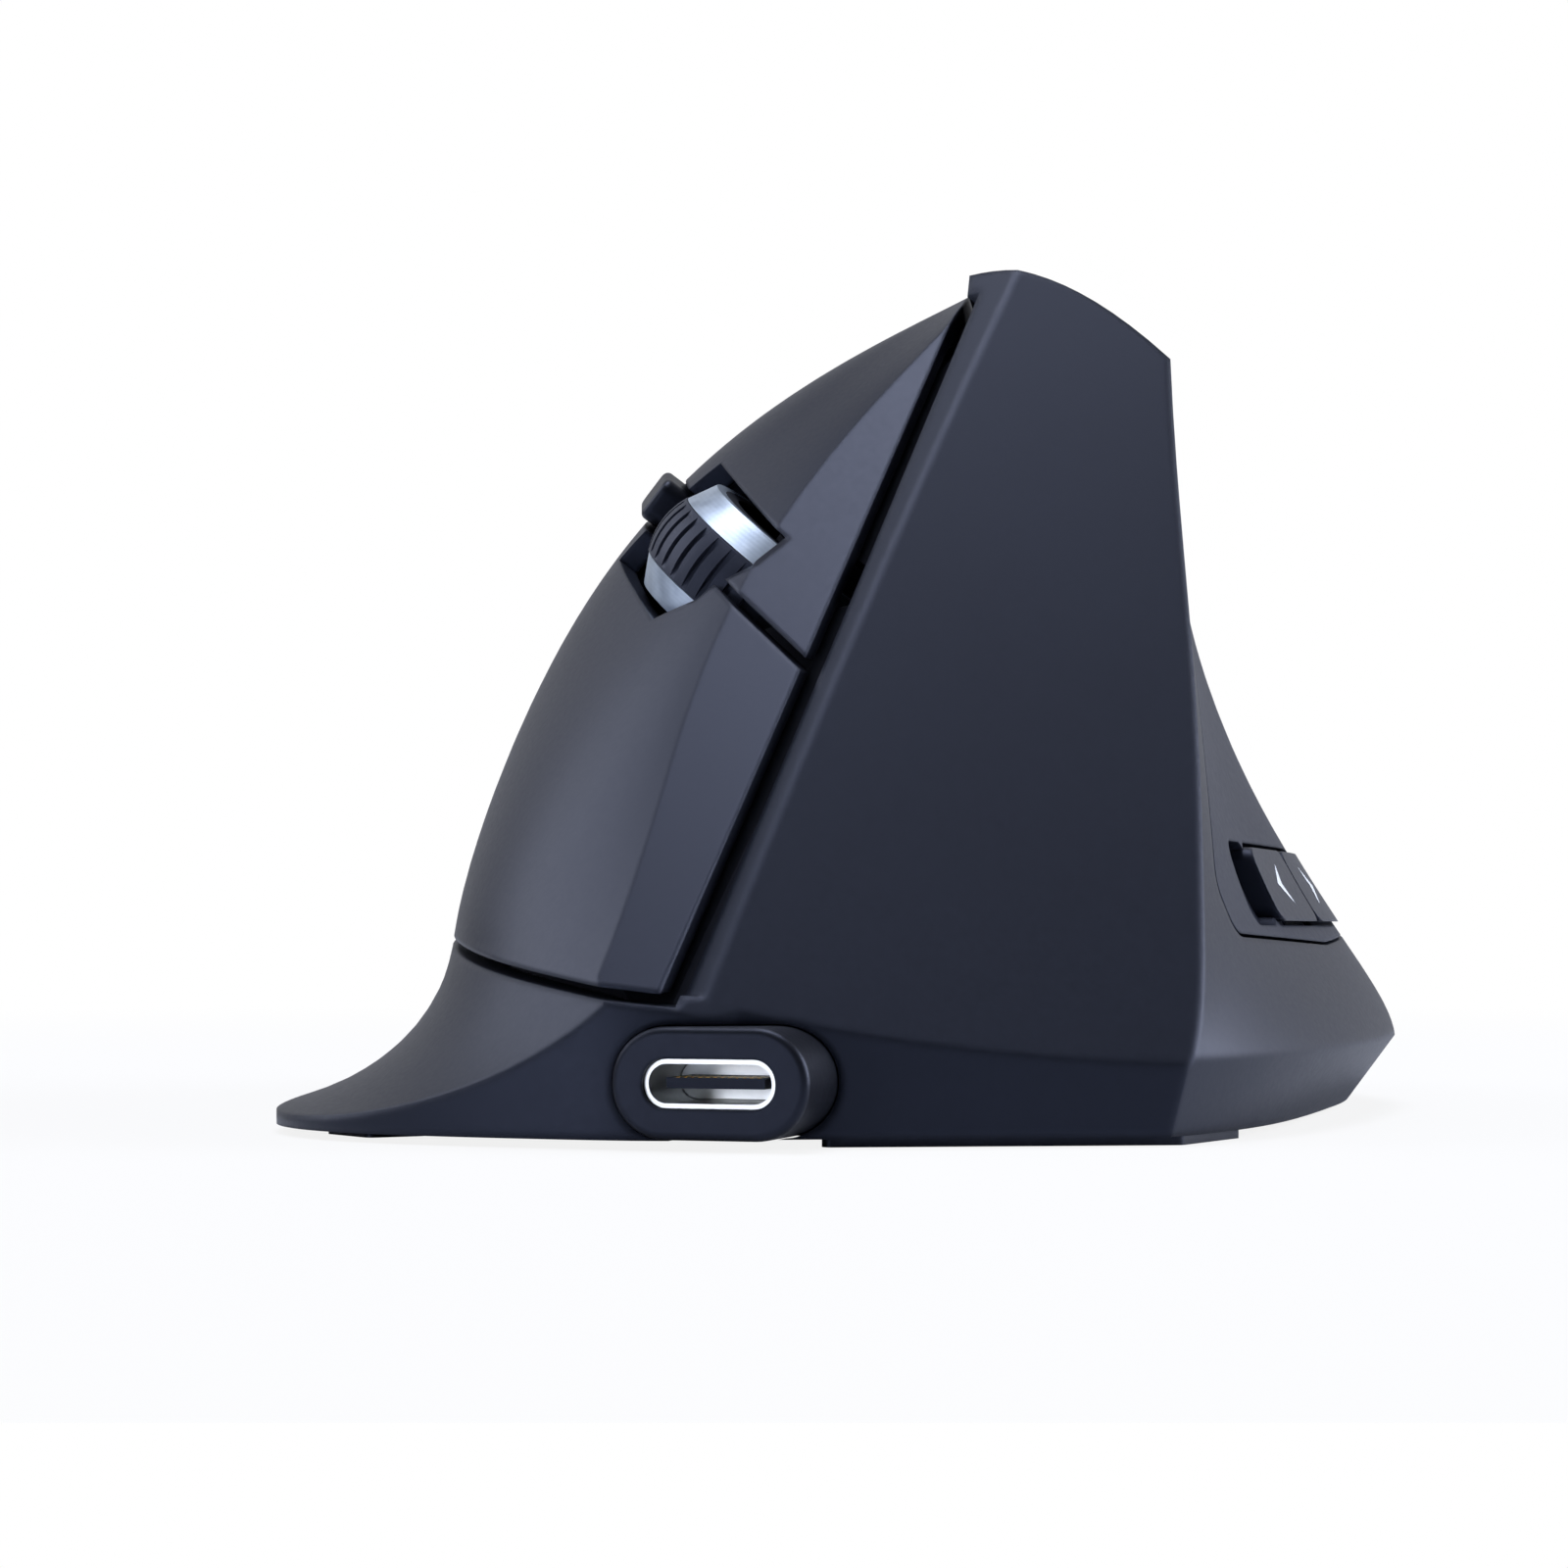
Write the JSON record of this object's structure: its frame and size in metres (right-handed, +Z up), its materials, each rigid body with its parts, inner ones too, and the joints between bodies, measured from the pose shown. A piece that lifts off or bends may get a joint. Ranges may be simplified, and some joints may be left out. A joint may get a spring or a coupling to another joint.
{
  "type": "vertical ergonomic mouse",
  "caption": "Right-handed upright computer mouse with a flared skirt, leaning finger buttons, ribbed scroll wheel, thumb buttons on an inset side panel and a front charging port.",
  "frame": {"origin": "on the desk, under the middle of the body's box", "axes": "+Z up from the desk, -Y towards the charging port at the front, +X towards the thumb side"},
  "size_m": [0.0752, 0.1127, 0.0641],
  "materials": {
    "shell_plastic": "fine matte texture",
    "button_plastic": "fine matte texture",
    "inner_plastic": "plain moulded",
    "insert_rubber": "soft matte",
    "control_plastic": "satin",
    "tyre_rubber": "ribbed, matte",
    "rim_chrome": "bright, finely turned",
    "steel": "satin",
    "board": "solder mask",
    "switch_plastic": "plain moulded",
    "plunger_plastic": "plain moulded",
    "clear_lens": "clear moulded",
    "cell_wrap": "smooth film",
    "foot_pad": "slick low-friction pad"
  },
  "bodies": {
    "shell": {"main_housing": "shell_plastic", "palm_cover": "shell_plastic", "button_frame": "inner_plastic", "hinge_pin": "steel", "wheel_encoder": "switch_plastic", "button_board": "board", "carrier_guides": "inner_plastic", "board_screws": "steel", "index_switch": "switch_plastic", "middle_switch": "switch_plastic", "wheel_switch": "switch_plastic", "dpi_switch": "switch_plastic", "bottom_cover": "inner_plastic", "housing_screws": "steel", "foot_front": "foot_pad", "foot_side": "foot_pad", "foot_rear": "foot_pad", "usb_bezel": "control_plastic", "usb_shell": "steel", "usb_tongue": "switch_plastic", "main_board": "board", "motion_sensor": "switch_plastic", "sensor_lens": "clear_lens", "controller_chip": "switch_plastic", "radio_can": "steel", "battery": "cell_wrap", "power_switch": "inner_plastic", "thumb_insert": "insert_rubber", "side_board": "board", "forward_switch": "switch_plastic", "back_switch": "switch_plastic"},
    "index": {"index_button": "button_plastic", "index_plunger": "plunger_plastic"},
    "middle": {"middle_button": "button_plastic", "middle_plunger": "plunger_plastic"},
    "carrier": {"wheel_carrier": "inner_plastic", "wheel_plunger": "plunger_plastic"},
    "wheel": {"wheel_hub": "inner_plastic", "wheel_tyre": "tyre_rubber", "wheel_rim_upper": "rim_chrome", "wheel_rim_lower": "rim_chrome", "wheel_axle": "steel"},
    "dpi": {"dpi_button": "control_plastic", "dpi_plunger": "plunger_plastic"},
    "forward": {"forward_button": "control_plastic", "forward_plunger": "plunger_plastic"},
    "back": {"back_button": "control_plastic", "back_plunger": "plunger_plastic"},
    "power": {"power_slider": "control_plastic"}
  },
  "joints": [
    {"name": "index_click", "type": "hinge", "parent": "shell", "child": "index", "pos_m": [-0.01224, -0.00231, 0.04397], "axis": [0.6326, 0.0196, 0.7743], "range_deg": [0, 0.8], "stiffness_Nm_per_rad": 1.6, "springref_deg": -0.29},
    {"name": "middle_click", "type": "hinge", "parent": "shell", "child": "middle", "pos_m": [-0.01224, -0.00231, 0.04397], "axis": [0.6326, 0.0196, 0.7743], "range_deg": [0, 0.8], "stiffness_Nm_per_rad": 1.6, "springref_deg": -0.29},
    {"name": "wheel_click", "type": "slide", "parent": "shell", "child": "carrier", "axis": [0.6978, 0.4193, -0.5807], "range_m": [0, 0.0005], "stiffness_N_per_m": 900, "springref_m": -0.0005},
    {"name": "wheel_spin", "type": "hinge", "parent": "carrier", "child": "wheel", "pos_m": [-0.00494, -0.01901, 0.03843], "axis": [0.6326, 0.0196, 0.7743], "continuous": true},
    {"name": "dpi_press", "type": "slide", "parent": "shell", "child": "dpi", "axis": [0.6978, 0.4193, -0.5807], "range_m": [0, 0.0004], "stiffness_N_per_m": 900, "springref_m": -0.0004},
    {"name": "forward_press", "type": "slide", "parent": "shell", "child": "forward", "axis": [-1, 0, 0], "range_m": [0, 0.0005], "stiffness_N_per_m": 900, "springref_m": -0.0005},
    {"name": "back_press", "type": "slide", "parent": "shell", "child": "back", "axis": [-1, 0, 0], "range_m": [0, 0.0005], "stiffness_N_per_m": 900, "springref_m": -0.0005},
    {"name": "power_slide", "type": "slide", "parent": "shell", "child": "power", "axis": [0, 1, 0], "range_m": [0, 0.002]}
  ]
}
